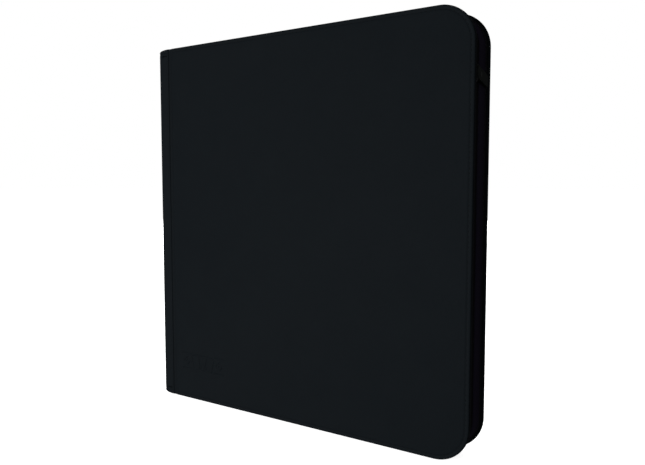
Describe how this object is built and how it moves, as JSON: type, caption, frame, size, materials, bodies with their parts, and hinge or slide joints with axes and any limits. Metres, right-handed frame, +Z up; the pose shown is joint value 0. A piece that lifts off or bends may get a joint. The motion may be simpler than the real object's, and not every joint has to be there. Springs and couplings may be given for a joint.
{
  "type": "trading card binder",
  "caption": "Zip-round card binder: padded covers with rounded corners, hinged spine, woven side wall, zip slider with strap pull, and turning pocket leaves.",
  "frame": {"origin": "centre of the footprint, on the lower edge the binder stands on", "axes": "+Z up along the spine, +X towards the zip opening, -Y out of the front cover, +Y out of the back cover"},
  "size_m": [0.3321, 0.0346, 0.35],
  "materials": {
    "cover_leather": "fine-grained matt imitation leather",
    "pull_leather": "smooth matt imitation leather",
    "board": "pressed grey board",
    "lining_cloth": "fine dark lining cloth",
    "wall_weave": "ribbed woven nylon",
    "binding_tape": "ribbed seam tape",
    "zip_tape": "ribbed zip tape",
    "zip_coil": "black nylon coil",
    "zip_metal": "black paint",
    "rivet_metal": "black satin",
    "comb_plastic": "black moulded plastic",
    "leaf_film": "clear film over a black core sheet"
  },
  "bodies": {
    "back_cover": {"back_skin": "cover_leather", "back_board": "board", "back_lining": "lining_cloth", "side_wall": "wall_weave", "wall_binding": "binding_tape", "back_zip_tape": "zip_tape", "back_zip_coil": "zip_coil", "back_zip_stops": "zip_metal", "zip_end_tabs": "binding_tape"},
    "front_cover": {"front_skin": "cover_leather", "front_board": "board", "front_lining": "lining_cloth", "front_zip_tape": "zip_tape", "front_zip_coil": "zip_coil", "front_zip_stops": "zip_metal"},
    "spine": {"spine_skin": "cover_leather", "spine_board": "board", "spine_lining": "lining_cloth", "front_hinge_strip": "cover_leather", "back_hinge_strip": "cover_leather", "binding_comb": "comb_plastic", "binding_rivets": "rivet_metal", "leaf_margins": "leaf_film"},
    "zip_slider": {"slider_body": "zip_metal", "slider_bail": "zip_metal"},
    "zip_pull": {"pull_strap": "pull_leather", "pull_rivet": "rivet_metal"},
    "leaf_01": {"leaf_01": "leaf_film"},
    "leaf_02": {"leaf_02": "leaf_film"},
    "leaf_03": {"leaf_03": "leaf_film"},
    "leaf_04": {"leaf_04": "leaf_film"},
    "leaf_05": {"leaf_05": "leaf_film"},
    "leaf_06": {"leaf_06": "leaf_film"},
    "leaf_07": {"leaf_07": "leaf_film"},
    "leaf_08": {"leaf_08": "leaf_film"},
    "leaf_09": {"leaf_09": "leaf_film"},
    "leaf_10": {"leaf_10": "leaf_film"},
    "leaf_11": {"leaf_11": "leaf_film"},
    "leaf_12": {"leaf_12": "leaf_film"},
    "leaf_13": {"leaf_13": "leaf_film"},
    "leaf_14": {"leaf_14": "leaf_film"},
    "leaf_15": {"leaf_15": "leaf_film"},
    "leaf_16": {"leaf_16": "leaf_film"},
    "leaf_17": {"leaf_17": "leaf_film"},
    "leaf_18": {"leaf_18": "leaf_film"},
    "leaf_19": {"leaf_19": "leaf_film"},
    "leaf_20": {"leaf_20": "leaf_film"}
  },
  "joints": [
    {"name": "spine_fold", "type": "hinge", "parent": "back_cover", "child": "spine", "pos_m": [-0.1485, 0.0173, 0.175], "axis": [0, 0, -1], "range_deg": [0, 90]},
    {"name": "cover_fold", "type": "hinge", "parent": "spine", "child": "front_cover", "pos_m": [-0.1485, -0.0173, 0.175], "axis": [0, 0, -1], "range_deg": [0, 90]},
    {"name": "slider_travel", "type": "slide", "parent": "back_cover", "child": "zip_slider", "axis": [0, 0, 1], "range_m": [-0.262, 0.012]},
    {"name": "pull_swing", "type": "hinge", "parent": "zip_slider", "child": "zip_pull", "pos_m": [0.16488, -0.0083, 0.299], "axis": [0, 0, -1], "range_deg": [0, 150]},
    {"name": "leaf_01_turn", "type": "hinge", "parent": "spine", "child": "leaf_01", "pos_m": [-0.1427, -0.0106, 0.175], "axis": [0, 0, -1], "range_deg": [0, 65.3]},
    {"name": "leaf_02_turn", "type": "hinge", "parent": "spine", "child": "leaf_02", "pos_m": [-0.1427, -0.00948, 0.175], "axis": [0, 0, -1], "range_deg": [0, 58.48]},
    {"name": "leaf_03_turn", "type": "hinge", "parent": "spine", "child": "leaf_03", "pos_m": [-0.1427, -0.00837, 0.175], "axis": [0, 0, -1], "range_deg": [0, 51.66]},
    {"name": "leaf_04_turn", "type": "hinge", "parent": "spine", "child": "leaf_04", "pos_m": [-0.1427, -0.00725, 0.175], "axis": [0, 0, -1], "range_deg": [0, 44.83]},
    {"name": "leaf_05_turn", "type": "hinge", "parent": "spine", "child": "leaf_05", "pos_m": [-0.1427, -0.00614, 0.175], "axis": [0, 0, -1], "range_deg": [0, 38.01]},
    {"name": "leaf_06_turn", "type": "hinge", "parent": "spine", "child": "leaf_06", "pos_m": [-0.1427, -0.00502, 0.175], "axis": [0, 0, -1], "range_deg": [0, 31.2]},
    {"name": "leaf_07_turn", "type": "hinge", "parent": "spine", "child": "leaf_07", "pos_m": [-0.1427, -0.00391, 0.175], "axis": [0, 0, -1], "range_deg": [0, 24.38]},
    {"name": "leaf_08_turn", "type": "hinge", "parent": "spine", "child": "leaf_08", "pos_m": [-0.1427, -0.00279, 0.175], "axis": [0, 0, -1], "range_deg": [0, 17.55]},
    {"name": "leaf_09_turn", "type": "hinge", "parent": "spine", "child": "leaf_09", "pos_m": [-0.1427, -0.00167, 0.175], "axis": [0, 0, -1], "range_deg": [0, 10.73]},
    {"name": "leaf_10_turn", "type": "hinge", "parent": "spine", "child": "leaf_10", "pos_m": [-0.1427, -0.00056, 0.175], "axis": [0, 0, -1], "range_deg": [0, 3.91]},
    {"name": "leaf_11_turn", "type": "hinge", "parent": "spine", "child": "leaf_11", "pos_m": [-0.1427, 0.00056, 0.175], "axis": [0, 0, -1], "range_deg": [-3.91, 0]},
    {"name": "leaf_12_turn", "type": "hinge", "parent": "spine", "child": "leaf_12", "pos_m": [-0.1427, 0.00167, 0.175], "axis": [0, 0, -1], "range_deg": [-10.73, 0]},
    {"name": "leaf_13_turn", "type": "hinge", "parent": "spine", "child": "leaf_13", "pos_m": [-0.1427, 0.00279, 0.175], "axis": [0, 0, -1], "range_deg": [-17.55, 0]},
    {"name": "leaf_14_turn", "type": "hinge", "parent": "spine", "child": "leaf_14", "pos_m": [-0.1427, 0.00391, 0.175], "axis": [0, 0, -1], "range_deg": [-24.38, 0]},
    {"name": "leaf_15_turn", "type": "hinge", "parent": "spine", "child": "leaf_15", "pos_m": [-0.1427, 0.00502, 0.175], "axis": [0, 0, -1], "range_deg": [-31.2, 0]},
    {"name": "leaf_16_turn", "type": "hinge", "parent": "spine", "child": "leaf_16", "pos_m": [-0.1427, 0.00614, 0.175], "axis": [0, 0, -1], "range_deg": [-38.01, 0]},
    {"name": "leaf_17_turn", "type": "hinge", "parent": "spine", "child": "leaf_17", "pos_m": [-0.1427, 0.00725, 0.175], "axis": [0, 0, -1], "range_deg": [-44.83, 0]},
    {"name": "leaf_18_turn", "type": "hinge", "parent": "spine", "child": "leaf_18", "pos_m": [-0.1427, 0.00837, 0.175], "axis": [0, 0, -1], "range_deg": [-51.66, 0]},
    {"name": "leaf_19_turn", "type": "hinge", "parent": "spine", "child": "leaf_19", "pos_m": [-0.1427, 0.00948, 0.175], "axis": [0, 0, -1], "range_deg": [-58.48, 0]},
    {"name": "leaf_20_turn", "type": "hinge", "parent": "spine", "child": "leaf_20", "pos_m": [-0.1427, 0.0106, 0.175], "axis": [0, 0, -1], "range_deg": [-65.3, 0]}
  ],
  "couplings": [
    {"joint": "leaf_01_turn", "follows": "cover_fold", "ratio": 0.72},
    {"joint": "leaf_02_turn", "follows": "cover_fold", "ratio": 0.6442},
    {"joint": "leaf_03_turn", "follows": "cover_fold", "ratio": 0.5684},
    {"joint": "leaf_04_turn", "follows": "cover_fold", "ratio": 0.4926},
    {"joint": "leaf_05_turn", "follows": "cover_fold", "ratio": 0.4168},
    {"joint": "leaf_06_turn", "follows": "cover_fold", "ratio": 0.3411},
    {"joint": "leaf_07_turn", "follows": "cover_fold", "ratio": 0.2653},
    {"joint": "leaf_08_turn", "follows": "cover_fold", "ratio": 0.1895},
    {"joint": "leaf_09_turn", "follows": "cover_fold", "ratio": 0.1137},
    {"joint": "leaf_10_turn", "follows": "cover_fold", "ratio": 0.0379},
    {"joint": "leaf_11_turn", "follows": "spine_fold", "ratio": -0.0379},
    {"joint": "leaf_12_turn", "follows": "spine_fold", "ratio": -0.1137},
    {"joint": "leaf_13_turn", "follows": "spine_fold", "ratio": -0.1895},
    {"joint": "leaf_14_turn", "follows": "spine_fold", "ratio": -0.2653},
    {"joint": "leaf_15_turn", "follows": "spine_fold", "ratio": -0.3411},
    {"joint": "leaf_16_turn", "follows": "spine_fold", "ratio": -0.4168},
    {"joint": "leaf_17_turn", "follows": "spine_fold", "ratio": -0.4926},
    {"joint": "leaf_18_turn", "follows": "spine_fold", "ratio": -0.5684},
    {"joint": "leaf_19_turn", "follows": "spine_fold", "ratio": -0.6442},
    {"joint": "leaf_20_turn", "follows": "spine_fold", "ratio": -0.72}
  ]
}
